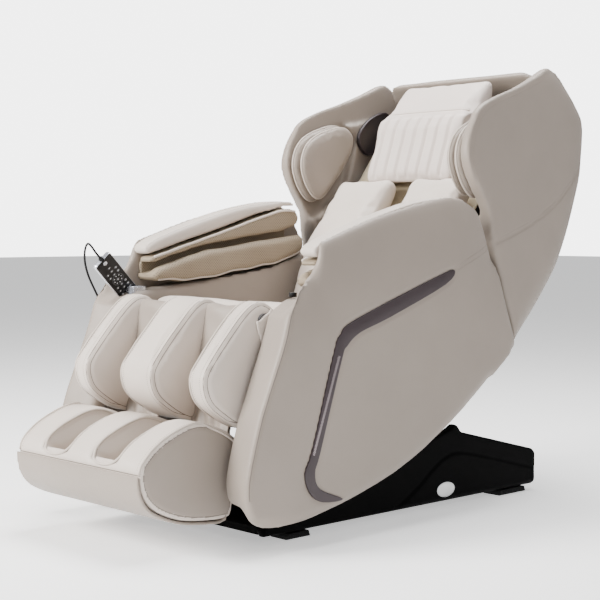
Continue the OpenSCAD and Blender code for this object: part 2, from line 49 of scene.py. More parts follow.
# ---------------------------------------------------------------- camera
camera = bpy.data.objects.new("camera", bpy.data.cameras.new("camera"))
scene.collection.objects.link(camera)
scene.camera = camera
camera.data.lens = 82.9
camera.data.sensor_width = 36
camera.location = (2.667, -2.540, 0.734)
tilt = math.radians(2.9)
look = Vector((-0.729 * math.cos(tilt), 0.685 * math.cos(tilt), -math.sin(tilt)))
camera.rotation_mode = "QUATERNION"
camera.rotation_quaternion = look.to_track_quat("-Z", "Y")


# ---------------------------------------------------------------- materials
def graph(name):
    m = bpy.data.materials.new(name)
    m.use_nodes = True
    t = m.node_tree
    return m, t, t.nodes["Principled BSDF"]


def node(t, kind, **values):
    n = t.nodes.new(kind)
    for key, value in values.items():
        if hasattr(n, key):
            setattr(n, key, value)
        else:
            n.inputs[key.replace("_", " ")].default_value = value
    return n


def coords(t):
    return node(t, "ShaderNodeTexCoord").outputs["Object"]


def tinted(t, shader, colour, where, scale, amount):
    """Base colour that drifts a little lighter and darker over the surface."""
    drift = node(t, "ShaderNodeTexNoise", Scale=scale, Detail=3.0)
    t.links.new(where, drift.inputs["Vector"])
    ramp = node(t, "ShaderNodeValToRGB")
    ramp.color_ramp.elements[0].position = 0.3
    ramp.color_ramp.elements[1].position = 0.7
    for k, gain in enumerate((1 - amount, 1 + amount)):
        ramp.color_ramp.elements[k].color = [min(1, c * gain) for c in colour] + [1]
    t.links.new(drift.outputs["Fac"], ramp.inputs["Fac"])
    t.links.new(ramp.outputs["Color"], shader.inputs["Base Color"])
    return ramp


def roughened(t, shader, where, scale, low, high):
    noise = node(t, "ShaderNodeTexNoise", Scale=scale, Detail=2.0)
    t.links.new(where, noise.inputs["Vector"])
    spread = node(t, "ShaderNodeMapRange", To_Min=low, To_Max=high)
    t.links.new(noise.outputs["Fac"], spread.inputs["Value"])
    t.links.new(spread.outputs["Result"], shader.inputs["Roughness"])


def bumped(t, shader, *layers):
    """Chains bump layers, each (height socket, distance in metres, strength)."""
    last = None
    for height, distance, strength in layers:
        b = node(t, "ShaderNodeBump", Strength=strength, Distance=distance)
        t.links.new(height, b.inputs["Height"])
        if last:
            t.links.new(last, b.inputs["Normal"])
        last = b.outputs["Normal"]
    t.links.new(last, shader.inputs["Normal"])


def leather(name, colour, rough=(0.42, 0.56)):
    m, t, s = graph(name)
    at = coords(t)
    tinted(t, s, colour, at, 7.0, 0.035)
    roughened(t, s, at, 40.0, *rough)
    s.inputs["Specular IOR Level"].default_value = 0.42
    s.inputs["Sheen Weight"].default_value = 0.08
    grain = node(t, "ShaderNodeTexVoronoi", Scale=620.0, feature="DISTANCE_TO_EDGE")
    pores = node(t, "ShaderNodeTexNoise", Scale=1300.0, Detail=2.0)
    soft = node(t, "ShaderNodeTexNoise", Scale=24.0, Detail=2.0)
    for n in (grain, pores, soft):
        t.links.new(at, n.inputs["Vector"])
    bumped(t, s, (soft.outputs["Fac"], 0.002, 0.35), (grain.outputs["Distance"], 0.0004, 0.35),
        (pores.outputs["Fac"], 0.0002, 0.3))
    return m


def perforated(name, colour, hole_colour, axes, pitch, size, rough=0.75, metal=0.0):
    """Cloth or sheet with a regular grid of small holes in the plane of two axes."""
    m, t, s = graph(name)
    at = coords(t)
    split = node(t, "ShaderNodeSeparateXYZ")
    t.links.new(at, split.inputs[0])
    flat = node(t, "ShaderNodeCombineXYZ")
    for k, axis in enumerate(axes):
        t.links.new(split.outputs[axis], flat.inputs[k])
    turn = node(t, "ShaderNodeMapping")
    turn.inputs["Rotation"].default_value = (0, 0, math.radians(45))
    t.links.new(flat.outputs[0], turn.inputs["Vector"])
    grid = node(t, "ShaderNodeTexVoronoi", voronoi_dimensions="2D", Scale=1 / pitch, Randomness=0.0)
    t.links.new(turn.outputs[0], grid.inputs["Vector"])
    weave = node(t, "ShaderNodeTexNoise", Scale=900.0, Detail=2.0)
    t.links.new(at, weave.inputs["Vector"])
    ramp = node(t, "ShaderNodeValToRGB")
    ramp.color_ramp.elements[0].position = size
    ramp.color_ramp.elements[0].color = (*hole_colour, 1)
    ramp.color_ramp.elements[1].position = size + 0.1
    ramp.color_ramp.elements[1].color = (*colour, 1)
    t.links.new(grid.outputs["Distance"], ramp.inputs["Fac"])
    t.links.new(ramp.outputs["Color"], s.inputs["Base Color"])
    s.inputs["Roughness"].default_value = rough
    s.inputs["Metallic"].default_value = metal
    bumped(t, s, (grid.outputs["Distance"], 0.0012, 0.5), (weave.outputs["Fac"], 0.0003, 0.4))
    return m


def hard(name, colour, rough, metal=0.0, coat=0.0, scale=300.0, depth=0.0002, drift=0.06, spread=0.06,
        brushed=None, gloss=0.5):
    """Moulded or metal surface with fine texture; brushed stretches the texture along an axis."""
    m, t, s = graph(name)
    at = coords(t)
    tinted(t, s, colour, at, 18.0, drift)
    roughened(t, s, at, 60.0, max(0.05, rough - spread), rough + spread)
    s.inputs["Metallic"].default_value = metal
    s.inputs["Coat Weight"].default_value = coat
    s.inputs["Specular IOR Level"].default_value = gloss
    texture = node(t, "ShaderNodeTexNoise", Scale=scale, Detail=3.0)
    if brushed:
        stretch = node(t, "ShaderNodeMapping")
        stretch.inputs["Scale"].default_value = brushed
        t.links.new(at, stretch.inputs["Vector"])
        at = stretch.outputs[0]
    t.links.new(at, texture.inputs["Vector"])
    bumped(t, s, (texture.outputs["Fac"], depth, 0.5))
    return m


LIGHT = leather("leather_front", (0.560, 0.492, 0.435))
SIDE = leather("leather_side", (0.262, 0.220, 0.185))
PILLOW = leather("leather_pillow", (0.610, 0.535, 0.490), (0.45, 0.6))
WELT = leather("leather_piping", (0.500, 0.435, 0.378))
# Painted shade: dark colour for the lines in the seam grooves, partly the seams' own dark thread.
SEAM_SHADE = leather("seam_shade_and_thread", (0.150, 0.122, 0.100))
THREAD = hard("thread", (0.26, 0.22, 0.185), 0.8, scale=2500.0)
MESH_SIDE = perforated("mesh_side", (0.27, 0.215, 0.15), (0.12, 0.093, 0.06), (1, 2), 0.0056, 0.16)
SATIN = leather("lining_satin", (0.40, 0.335, 0.23), (0.25, 0.38))
TRIM = hard("trim_mauve", (0.040, 0.029, 0.032), 0.40, metal=0.05, coat=0.08, depth=0.0001, gloss=0.25)
GRILLE = perforated("trim_grille", (0.30, 0.25, 0.26), (0.02, 0.015, 0.016), (1, 2), 0.0034, 0.26, 0.35, 0.6)
SPEAKER = perforated("speaker_mesh", (0.050, 0.040, 0.044), (0.006, 0.005, 0.006), (1, 2), 0.0030, 0.28,
    0.3, 0.3)
GLOSS = hard("gloss_black", (0.004, 0.004, 0.0045), 0.30, coat=0.06, depth=0.00005, gloss=0.2)
BASE = hard("base_black", (0.0012, 0.0012, 0.0013), 0.55, scale=900.0, depth=0.0003, gloss=0.03)
RUBBER = hard("rubber_black", (0.010, 0.010, 0.0105), 0.75, scale=700.0, gloss=0.2)
BADGE = hard("badge_silver", (0.62, 0.63, 0.63), 0.30, metal=0.9, brushed=(1, 60, 1), depth=0.0001)
SILVER = hard("silver_paint", (0.52, 0.54, 0.60), 0.25, metal=0.75, coat=0.4, depth=0.00008)
MARK = hard("key_marks", (0.78, 0.80, 0.84), 0.5, scale=900.0)
KEY = hard("key_rubber", (0.028, 0.029, 0.032), 0.5, scale=900.0)
PAINTED = hard("painted_steel", (0.045, 0.046, 0.050), 0.40, coat=0.2, scale=500.0)
STEEL = hard("bright_steel", (0.50, 0.50, 0.51), 0.30, metal=1.0, brushed=(1, 1, 50), depth=0.0001)
GREY = hard("grey_plastic", (0.22, 0.22, 0.23), 0.5, scale=800.0, depth=0.0003)
ROLLER = hard("roller_plastic", (0.14, 0.13, 0.125), 0.4, scale=500.0)
RED = hard("rocker_red", (0.28, 0.012, 0.012), 0.25, coat=0.4)
FLOOR = hard("floor_paint", (0.90, 0.90, 0.90), 0.75, scale=30.0, drift=0.004, gloss=0.2)
glow = FLOOR.node_tree.nodes["Principled BSDF"].inputs
glow["Emission Color"].default_value = (1, 1, 1, 1)
glow["Emission Strength"].default_value = 0.6


# ---------------------------------------------------------------- mesh tools, in millimetres
def curve(points, n=4, closed=True):
    """Smooth line through a few points."""
    p = np.array(points, float)
    m = len(p)
    out = []
    for i in range(m if closed else m - 1):
        pick = (lambda j: p[j % m]) if closed else (lambda j: p[min(max(j, 0), m - 1)])
        a, b, c, d = (pick(i + k) for k in (-1, 0, 1, 2))
        for k in range(n):
            t = k / n
            out.append(0.5 * (2 * b + (c - a) * t + (2 * a - 5 * b + 4 * c - d) * t * t
                + (3 * b - a - 3 * c + d) * t**3))
    if not closed:
        out.append(p[-1])
    return np.array(out)


def resampled(line, step, closed=False):
    p = np.array(line, float)
    if closed:
        p = np.vstack([p, p[:1]])
    s = np.r_[0, np.cumsum(np.linalg.norm(np.diff(p, axis=0), axis=1))]
    n = max(2, int(round(s[-1] / step)))
    at = np.linspace(0, s[-1], n + 1)[: n if closed else n + 1]
    return np.stack([np.interp(at, s, p[:, k]) for k in range(p.shape[1])], 1)


def area(p):
    q = np.roll(p, -1, 0)
    return 0.5 * np.sum(p[:, 0] * q[:, 1] - q[:, 0] * p[:, 1])


def inset(p, d):
    """Closed 2D outline moved inward by d."""
    e = np.roll(p, -1, 0) - p
    e = e / np.maximum(np.linalg.norm(e, axis=1), 1e-9)[:, None]
    n = np.stack([-e[:, 1], e[:, 0]], 1) * (1 if area(p) > 0 else -1)
    v = n + np.roll(n, 1, 0)
    v = v / np.maximum((v * v).sum(1) / 2, 0.5)[:, None]
    return p + v * d


def piece(name, verts, faces, material):
    m = bpy.data.meshes.new(name)
    m.from_pydata([tuple(v) for v in np.array(verts, float) * 0.001], [], faces)
    m.validate()
    m.update()
    o = bpy.data.objects.new(name, m)
    scene.collection.objects.link(o)
    dress(o, material)
    return o


def dress(o, material):
    o.data.materials.clear()
    o.data.materials.append(material)
    o.data.polygons.foreach_set("use_smooth", [True] * len(o.data.polygons))


def rings(levels):
    """Faces and vertices of a closed tube of equal rings with flat ends."""
    n = len(levels[0])
    verts = np.vstack(levels)
    faces = []
    for i in range(len(levels) - 1):
        for k in range(n):
            j = (k + 1) % n
            faces.append((i * n + k, i * n + j, (i + 1) * n + j, (i + 1) * n + k))
    faces.append(tuple(range(n - 1, -1, -1)))
    last = (len(levels) - 1) * n
    faces.append(tuple(range(last, last + n)))
    return verts, faces


def slab(outline, x0, x1, r0=0.0, r1=0.0, deep=None):
    """Outline [y, z] run from x0 to x1, with its edges rounded by r0 and r1."""
    p = np.array(outline, float)
    if area(p) < 0:
        p = p[::-1]
    levels = []
    quarter = [math.pi / 2 * k / 5 for k in range(6)]
    for t in quarter if r0 else [math.pi / 2]:
        d = (deep or r0) * (1 - math.sin(t))
        levels.append((x0 + r0 * (1 - math.cos(t)), inset(p, d)))
    for t in reversed(quarter) if r1 else [math.pi / 2]:
        d = (deep or r1) * (1 - math.sin(t))
        levels.append((x1 - r1 * (1 - math.cos(t)), inset(p, d)))
    return rings([np.c_[np.full(len(q), x), q] for x, q in levels])


def joined(*parts):
    verts, faces, base = [], [], 0
    for v, f in parts:
        verts.append(np.array(v, float))
        faces += [tuple(i + base for i in face) for face in f]
        base += len(v)
    return np.vstack(verts), faces


def get(o):
    a = np.empty(len(o.data.vertices) * 3)
    o.data.vertices.foreach_get("co", a)
    return a.reshape(-1, 3) * 1000


def put(o, a):
    o.data.vertices.foreach_set("co", (np.asarray(a) * 0.001).ravel())
    o.data.update()
    return o


def normals(o):
    a = np.empty(len(o.data.vertices) * 3)
    o.data.vertices.foreach_get("normal", a)
    return a.reshape(-1, 3)


def baked(o):
    """Applies the modifiers."""
    shown = o.evaluated_get(bpy.context.evaluated_depsgraph_get())
    m = bpy.data.meshes.new_from_object(shown)
    old = o.data
    o.modifiers.clear()
    o.data = m
    bpy.data.meshes.remove(old)
    dress(o, m.materials[0])
    return o


def carve(o, verts, faces):
    """Takes a closed shape out of a piece."""
    tool = piece("cutter", verts, faces, o.data.materials[0])
    b = o.modifiers.new("b", "BOOLEAN")
    b.object = tool
    b.operation = "DIFFERENCE"
    baked(o)
    bpy.data.objects.remove(tool)
    return o


def soften(o, voxel=6.0, rounds=4, factor=0.5):
    r = o.modifiers.new("r", "REMESH")
    r.mode = "VOXEL"
    r.voxel_size = voxel * 0.001
    if rounds:
        s = o.modifiers.new("s", "SMOOTH")
        s.iterations = rounds
        s.factor = factor
    return baked(o)


def puff(o, pressure=4.0, cap=8.0):
    """Cloth under light pressure, held near its cut shape."""
    rest = get(o)
    c = o.modifiers.new("c", "CLOTH")
    c.settings.quality = 4
    c.settings.use_pressure = True
    c.settings.uniform_pressure_force = pressure
    c.settings.tension_stiffness = 12
    c.settings.compression_stiffness = 12
    c.settings.bending_stiffness = 2
    c.settings.effector_weights.gravity = 0
    for f in range(1, 21):
        scene.frame_set(f)
    baked(o)
    scene.frame_set(1)
    d = get(o) - rest
    length = np.linalg.norm(d, axis=1)
    return put(o, rest + d * (np.minimum(length, cap) / np.maximum(length, 1e-9))[:, None])


def away(p, line, closed=False):
    """Distance of each point from a line."""
    d = np.full(len(p), 1e9)
    line = np.array(line, float)
    for i in range(len(line) - (0 if closed else 1)):
        a, b = line[i], line[(i + 1) % len(line)]
        ab = b - a
        t = np.clip(((p - a) @ ab) / max(ab @ ab, 1e-9), 0, 1)
        d = np.minimum(d, np.linalg.norm(p - a - t[:, None] * ab, axis=1))
    return d


def within(p, poly):
    poly = np.array(poly, float)
    hit = np.zeros(len(p), bool)
    for i in range(len(poly)):
        (y0, z0), (y1, z1) = poly[i], poly[i - 1]
        if z0 == z1:
            continue
        crosses = (z0 > p[:, 1]) != (z1 > p[:, 1])
        hit ^= crosses & (p[:, 0] < (y1 - y0) * (p[:, 1] - z0) / (z1 - z0) + y0)
    return hit


def ease(t):
    t = np.clip(t, 0, 1)
    return t * t * (3 - 2 * t)


def round_face(a, groups, face):
    """Brings points in to a face that rounds off towards parts of its outline.
    groups: (line [y, z], reach, drop)."""
    p = a[:, 1:]
    limit = np.full(len(a), face, float)
    for line, reach, drop in groups:
        t = np.clip(away(p, line) / reach, 0, 1)
        limit = np.minimum(limit, face - drop * (1 - np.sqrt(1 - (1 - t) ** 2)))
    a[:, 0] = np.minimum(a[:, 0], limit)
    return a


def quilt(o, outline, sense, amount, soft=28.0, crease=3.0, width=5.0, axis=0, plane=(1, 2), least=None,
        most=None):
    """Raises a sewn panel on a face and presses its seam in. sense is the face's side on the axis."""
    a, n = get(o), normals(o)
    p = a[:, plane]
    on = n[:, axis] * sense > 0.35
    if least is not None:
        on &= a[:, axis] * sense > least
    if most is not None:
        on &= a[:, axis] * sense < most
    line = np.array(outline, float)
    d = away(p, line, True)
    s = np.where(within(p, line), d, -d)
    rise = amount * ease(s / soft) - crease * np.exp(-((s / width) ** 2))
    a[:, axis] += np.where(on, sense * rise, 0)
    return put(o, a)


def groove(o, line, depth=2.0, width=4.0, closed=False):
    a, n = get(o), normals(o)
    d = away(a, line, closed)
    return put(o, a - n * (depth * np.exp(-((d / width) ** 2)))[:, None])


def ripple(o, size, amount, seed):
    """Slow unevenness of stuffed leather."""
    rng = np.random.default_rng(seed)
    a, n = get(o), normals(o)
    total = np.zeros(len(a))
    for _ in range(9):
        k = rng.normal(size=3)
        k = k / np.linalg.norm(k) * 2 * math.pi / (size * rng.uniform(0.7, 1.6))
        total += np.sin(a @ k + rng.uniform(0, 6.28))
    return put(o, a + n * (total * amount / 3)[:, None])


def tree(o):
    return BVHTree.FromObject(o, bpy.context.evaluated_depsgraph_get())


def onto(o, points, direction=None, lift=0.0):
    """Points laid on a surface, by the nearest place or along a direction; with their normals."""
    surface = tree(o)
    out, ups = [], []
    for p in points:
        q = Vector(p) * 0.001
        hit = None
        if direction is not None:
            d = Vector(direction).normalized()
            hit = surface.ray_cast(q - d * 0.4, d)
            if hit[0] is None:
                hit = None
        if hit is None:
            hit = surface.find_nearest(q)
        out.append(np.array(hit[0]) * 1000 + np.array(hit[1]) * lift)
        ups.append(np.array(hit[1]))
    return np.array(out), np.array(ups)


def relaxed(line, times=3, closed=False):
    p = np.array(line, float)
    for _ in range(times):
        q = (np.roll(p, 1, 0) + 2 * p + np.roll(p, -1, 0)) / 4
        if not closed:
            q[0], q[-1] = p[0], p[-1]
        p = q
    return p


def tube_mesh(line, r, sides=8, closed=False):
    p = np.array(line, float)
    m = len(p)
    tangent = (np.roll(p, -1, 0) - np.roll(p, 1, 0)) if closed else np.gradient(p, axis=0)
    tangent = tangent / np.maximum(np.linalg.norm(tangent, axis=1), 1e-9)[:, None]
    side = np.cross(tangent[0], [0.31, 0.52, 0.79])
    radii = np.broadcast_to(np.array(r, float), (m,))
    levels = []
    for i in range(m):
        side = side - (side @ tangent[i]) * tangent[i]
        side = side / np.linalg.norm(side)
        up = np.cross(tangent[i], side)
        a = np.arange(sides) * 2 * math.pi / sides
        levels.append(p[i] + radii[i] * (np.cos(a)[:, None] * side + np.sin(a)[:, None] * up))
    verts, faces = rings(levels)
    if closed:
        faces = faces[:-2]
        n, last = sides, (m - 1) * sides
        shift = int(np.argmin([np.linalg.norm(levels[-1][0] - levels[0][k]) for k in range(n)]))
        for k in range(n):
            j = (k + 1) % n
            faces.append((last + k, last + j, (j + shift) % n, (k + shift) % n))
    return verts, faces


def stitches_mesh(line, ups, pitch=5.0, long=3.4, wide=0.8):
    """Row of sewn stitches, each a small raised lozenge."""
    p = np.array(line, float)
    s = np.r_[0, np.cumsum(np.linalg.norm(np.diff(p, axis=0), axis=1))]
    verts, faces = [], []
    for at in np.arange(pitch / 2, s[-1] - pitch / 2, pitch):
        c = np.array([np.interp(at, s, p[:, k]) for k in range(3)])
        e = np.array([np.interp(at + 1, s, p[:, k]) for k in range(3)]) - c
        e = e / max(np.linalg.norm(e), 1e-9)
        u = ups[min(int(np.searchsorted(s, at)), len(ups) - 1)]
        w = np.cross(e, u)
        w = w / max(np.linalg.norm(w), 1e-9)
        b = len(verts)
        verts += [c - e * long / 2, c + e * long / 2, c + w * wide, c - w * wide, c + u * wide, c - u * wide]
        faces += [(b + i, b + j, b + k) for i, j, k in
            ((1, 2, 4), (2, 0, 4), (0, 3, 4), (3, 1, 4), (2, 1, 5), (0, 2, 5), (3, 0, 5), (1, 3, 5))]
    return np.array(verts), faces


def welt(name, o, line, r, body, material=WELT, direction=None, closed=False, lift=0.35, step=7.0):
    """Piping laid along a line on a surface."""
    p, _ = onto(o, resampled(line, step, closed), direction, r * lift)
    v, f = tube_mesh(relaxed(p, 3, closed), r, 8, closed)
    w = piece(name, v, f, material)
    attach(w, body)
    return w


def seam_shade_line(name, o, line, body, closed=False, direction=None, r=0.9):
    """Thin dark line of painted shade in a pulled-in seam's groove, partly the seam's own dark thread."""
    return welt(name, o, line, r, body, SEAM_SHADE, direction, closed, -0.1, 6.0)


def sewn(name, o, lines, body, direction=None, closed=False, pitch=5.0):
    """Rows of stitches along lines on a surface."""
    parts = []
    for line in lines:
        p, up = onto(o, resampled(line, 4.0, closed), direction, 0.3)
        parts.append(stitches_mesh(relaxed(p, 2, closed), up, pitch))
    v, f = joined(*parts)
    w = piece(name, v, f, THREAD)
    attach(w, body)
    return w


def two_tone(o, material, outline, least=0.0):
    """Paints the part of a piece inside an outline [y, z], outboard of least, in a second leather."""
    o.data.materials.append(material)
    c = np.empty(len(o.data.polygons) * 3)
    o.data.polygons.foreach_get("center", c)
    c = c.reshape(-1, 3) * 1000
    on = within(c[:, 1:], outline) & (np.abs(c[:, 0]) > least)
    o.data.polygons.foreach_set("material_index", on.astype(int))
    return o


def stand(o, body, nodes=()):
    """The piece rides on a body and stands for CAD nodes."""
    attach(o, body)
    if nodes:
        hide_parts(*nodes)
    return o


def flipped(v, f):
    """Mirror image in x."""
    v = np.array(v, float) * [-1, 1, 1]
    return v, [tuple(reversed(face)) for face in f]


def twin(o, name):
    """Mirror image of a finished piece."""
    v = get(o)
    faces = [tuple(q.vertices) for q in o.data.polygons]
    v, f = flipped(v, faces)
    return piece(name, v, f, o.data.materials[0])


SIDES = (("left", 1), ("right", -1))


# ---------------------------------------------------------------- remote's cord
def unit(v):
    v = np.array(v, float)
    return v / np.linalg.norm(v)


remote_at = np.array([-332.0, -350, 566])
remote_l = unit([0.30, -0.76, 0.58])
remote_w = np.array([0.235, 0.646, 0.726])
remote_w = unit(remote_w - (remote_w @ remote_l) * remote_l)
remote_n = np.cross(remote_w, remote_l)
cord_path = [remote_at + d * remote_l for d in (163, 171, 180, 188)] + [
    (-274, -499, 681), (-276, -503, 688), (-283, -504, 694), (-294, -501, 698), (-308, -495, 699),
    (-323, -488, 697), (-338, -481, 692), (-352, -474, 684), (-365, -467, 673), (-377, -459, 659),
    (-387, -450, 643), (-395, -440, 626), (-401, -429, 608), (-405, -416, 588), (-405, -400, 559),
    (-405, -383, 526), (-405, -366, 491), (-405, -350, 452), (-405, -335, 412), (-405, -322, 370),
    (-405, -311, 328), (-405, -300, 288), (-405, -287, 256), (-405, -269, 238), (-405, -250, 236),
    (-405, -236, 250), (-405, -229, 272), (-404, -226, 300), (-404, -225, 324)]
run = relaxed(curve(cord_path, 3, False), 2)
v, f = tube_mesh(run, 3.0, 12)
cord = piece("remote_lead", v, f, RUBBER)
stand(cord, "seat", ["remote_cord"])

# ---------------------------------------------------------------- arm shells
arm_front = [(-550, 112), (-557, 172), (-524, 296), (-492, 376), (-449, 476), (-417, 574)]
arm_top = [(-366, 650), (-322, 698), (-256, 724), (-76, 778), (104, 814), (170, 819), (225, 805),
    (266, 778), (306, 695)]
arm_rear = [(352, 554), (396, 440), (380, 412)]
arm_low = [(290, 345), (138, 241), (-66, 139), (-305, 76), (-430, 60), (-514, 70)]
arm_line = curve(arm_front + arm_top + arm_rear + arm_low, 4)
front_line = curve(arm_front, 6, False)
trim_line = curve([(134, 633), (100, 597), (-102, 524), (-206, 492), (-250, 462), (-268, 430), (-336, 224),
    (-354, 176), (-338, 136), (-262, 103), (-329, 104), (-370, 130), (-386, 178), (-362, 232), (-293, 450),
    (-272, 490), (-222, 523), (62, 616)], 4)


def arm_shell():
    band = np.vstack([front_line, (front_line + [45, 0])[::-1]])
    v, f = joined(slab(arm_line, 351, 391), slab(band, 277, 358, 12))
    o = piece("arm_cover_left", v, f, SIDE)
    soften(o, 7.0, 1)
    a = get(o)
    top = curve([arm_front[-1]] + arm_top + arm_rear[:1], 4, False)[3:-3]
    low = curve(arm_low, 4, False)
    rear = curve([arm_top[-1]] + arm_rear, 4, False)[2:]
    a = round_face(a, [(top, 165, 39), (front_line, 10, 10), (rear, 30, 18), (low, 34, 22)], 391.0)
    ahead = ease((a[:, 1] + 300) / -60)
    a[:, 1] += ahead * 26 * np.clip((391 - a[:, 0]) / 110, 0, 1) ** 1.4
    a[:, 1] += ahead * ease((a[:, 2] - 534) / 44) * 1.0 * np.clip(391 - a[:, 0], 0, 44)
    put(o, a)
    soften(o, 6.0, 5)
    groove(o, np.c_[np.full(len(trim_line), 391), trim_line], 3.0, 3.5, True)
    seam = [(389, y + 4, z) for y, z in curve(arm_front + [(-366, 650)], 6, False)[3:-2]]
    groove(o, seam, 1.8, 4.0)
    rise = curve([(131, 633), (190, 655), (250, 676), (306, 696)], 6, False)
    for shift in (-4, 4):
        groove(o, [(391, y, z + shift) for y, z in rise], 0.8, 2.5)
    return ripple(o, 150, 0.5, 1)


shell = arm_shell()
shells = {"left": shell, "right": twin(shell, "arm_cover_right")}
for side, s in SIDES:
    o = shells[side]
    stand(o, "seat", ["arm_shell_" + side])
    seam = [(s * 389, y + 4, z) for y, z in curve(arm_front + [(-366, 650)], 6, False)[3:-2]]
    rise = curve([(131, 633), (190, 655), (250, 676), (306, 696)], 6, False)
    rows = [[(p[0], p[1] + 7, p[2]) for p in seam]]
    rows += [[(s * 391, y, z + k) for y, z in rise[2:]] for k in (-7, 7)]
    sewn("arm_stitches_" + side, o, rows, "seat", (-s, 0, 0))
    # Dark line in the front seam: painted shade in its groove, partly dark thread.
    welt("arm_seam_" + side, o, seam, 1.6, "seat", SEAM_SHADE, None, lift=-0.3)
    v, f = slab(trim_line, 388, 393.0, 0, 2.0)
    t = piece("trim_" + side, *((v, f) if s > 0 else flipped(v, f)), TRIM)
    stand(t, "seat", ["side_trims"])
    v, f = slab([(-274, 440), (-357, 216), (-363, 218), (-281, 442)], 392, 393.8, 0, 0.8)
    t = piece("trim_light_" + side, *((v, f) if s > 0 else flipped(v, f)), GRILLE)
    stand(t, "seat", ["side_trims"])

# ---------------------------------------------------------------- arm insides
body_line = curve([(-458, 304), (-424, 421), (-392, 482), (-367, 558), (-360, 570), (-312, 576), (-200, 588),
    (-40, 604), (120, 625), (228, 663), (264, 678), (300, 560), (300, 440), (262, 340), (-100, 300)], 2)
pad_line = [(-310, 673), (-318, 686), (-302, 702), (-256, 722), (-176, 748), (-76, 777), (14, 799),
    (104, 813), (169, 818), (212, 812), (220, 804), (153, 799), (-66, 735), (-176, 706), (-290, 673)]
flap_line = [(-304, 656), (-290, 650), (-121, 694), (153, 730), (226, 752), (222, 788), (153, 792),
    (-66, 728), (-176, 699), (-296, 664)]
wall_line = [(-300, 606), (-200, 618), (120, 654), (228, 690), (222, 788), (153, 792), (-66, 728),
    (-176, 699), (-296, 662), (-304, 640)]
hem_line = [(-294, 597), (-250, 600), (-205, 594), (-150, 602), (-100, 604), (-40, 619), (30, 622), (80, 633),
    (120, 635), (170, 650), (228, 672)]
floor_line = hem_line + [(238, 694), (228, 722), (153, 711), (20, 696), (-121, 678), (-230, 650), (-292, 632),
    (-308, 612)]


def cut_box(o, lo, hi):
    v = [(x, y, z) for x in (lo[0], hi[0]) for y in (lo[1], hi[1]) for z in (lo[2], hi[2])]
    f = [(0, 1, 3, 2), (4, 6, 7, 5), (0, 4, 5, 1), (2, 3, 7, 6), (0, 2, 6, 4), (1, 5, 7, 3)]
    return carve(o, v, f)


def mirror_if(s, mesh):
    return mesh if s > 0 else flipped(*mesh)


for side, s in SIDES:
    o = piece("arm_inside_" + side, *mirror_if(s, slab(body_line, 277, 351, 16)), SIDE)
    soften(o, 7.0, 3)
    ripple(o, 110, 0.7, 2)
    if s < 0:
        cut_box(o, (-352, -374, 536), (-292, -312, 600))
    stand(o, "seat", ["arm_bodies"])

    o = piece("pocket_pad_" + side, *mirror_if(s, slab(curve(floor_line, 2), 268, 351, 18)), MESH_SIDE)
    soften(o, 4.5, 3)
    a = get(o)
    over = np.clip(a[:, 2] - np.interp(a[:, 1], [-300, 228], [618, 694]), 0, 60)
    a[:, 2] -= ease((np.abs(a[:, 0]) - 292) / 30) * over * 0.9
    put(o, a)
    ripple(o, 90, 1.2, 12)
    stand(o, "seat", ["arm_pockets"])
    hem = curve(hem_line, 5, False)
    welt("pocket_hem_" + side, o, [(s * 272, y, z) for y, z in hem], 2.6, "seat", WELT)

    o = piece("pocket_lining_" + side, *mirror_if(s, slab(wall_line, 341, 351.5)), MESH_SIDE)
    soften(o, 4.0, 1)
    stand(o, "seat", ["arm_pockets"])

    o = piece("pocket_flap_" + side, *mirror_if(s, slab(curve(flap_line, 2), 284, 341, 10)), MESH_SIDE)
    soften(o, 5.0, 3)
    ripple(o, 90, 0.8, 3)
    stand(o, "seat", ["arm_pockets"])
    hem = curve([(-298, 664), (-240, 680), (-121, 714), (-20, 742), (80, 770), (153, 788), (215, 789)], 5,
        False)
    welt("flap_hem_" + side, o, [(s * 285, y, z) for y, z in hem], 3.5, "seat", LIGHT)

    o = piece("arm_roll_" + side, *mirror_if(s, slab(curve(pad_line, 3), 293, 352, 16)), LIGHT)
    soften(o, 5.0, 3)
    ripple(o, 120, 0.5, 4)
    stand(o, "seat", ["arm_top_pad_" + side])
    tip = [(-300, 345), (-350, 330), (-426, 504), (-420, 524), (-388, 544), (-374, 538), (-300, 372)]
    o = piece("seat_facing_" + side, *mirror_if(s, slab(curve(tip, 2), 269.5, 276.5, 3, 3)), LIGHT)
    soften(o, 2.5, 2)
    stand(o, "seat", ())
    edge = [(s * 300, y, z - 3) for y, z in curve(pad_line[1:10], 4, False)]
    roll = bpy.data.objects["arm_roll_" + side]
    sewn("arm_roll_stitches_" + side, roll, [edge], "seat")

# ---------------------------------------------------------------- seat
seat_line = curve([(-330, 380), (-337, 470), (-334, 540), (-296, 560), (-150, 536), (60, 492), (138, 476),
    (146, 430), (138, 380), (-100, 379)], 4)
o = piece("seat_pad", *slab(seat_line, -254, 254, 26, 26), LIGHT)
soften(o, 8.0, 4)
a = get(o)
a[:, 2] = np.maximum(a[:, 2], 378.5)
put(o, a)
ripple(o, 170, 1.6, 5)
stand(o, "seat", ["seat_cushion"])

# ---------------------------------------------------------------- back
side_line = curve([(316, 700), (340, 628), (363, 556), (390, 492), (410, 446), (424, 440), (554, 570),
    (634, 680), (714, 850), (737, 940), (744, 1040), (704, 1112), (656, 1162), (612, 1184), (560, 1164),
    (504, 1140), (430, 1112), (339, 1081), (270, 1040), (224, 945), (244, 870), (300, 790)], 3)
back_rear = [(424, 440), (554, 570), (634, 680), (714, 850), (737, 940), (744, 1040), (704, 1112),
    (612, 1184)]
back_inner = [(590, 1168), (672, 1104), (724, 1042), (712, 944), (690, 858), (612, 692), (534, 582),
    (406, 452)]
width_at = ([400, 620, 760, 900, 1030, 1100, 1150, 1190], [382, 378, 372, 364, 354, 346, 338, 330])


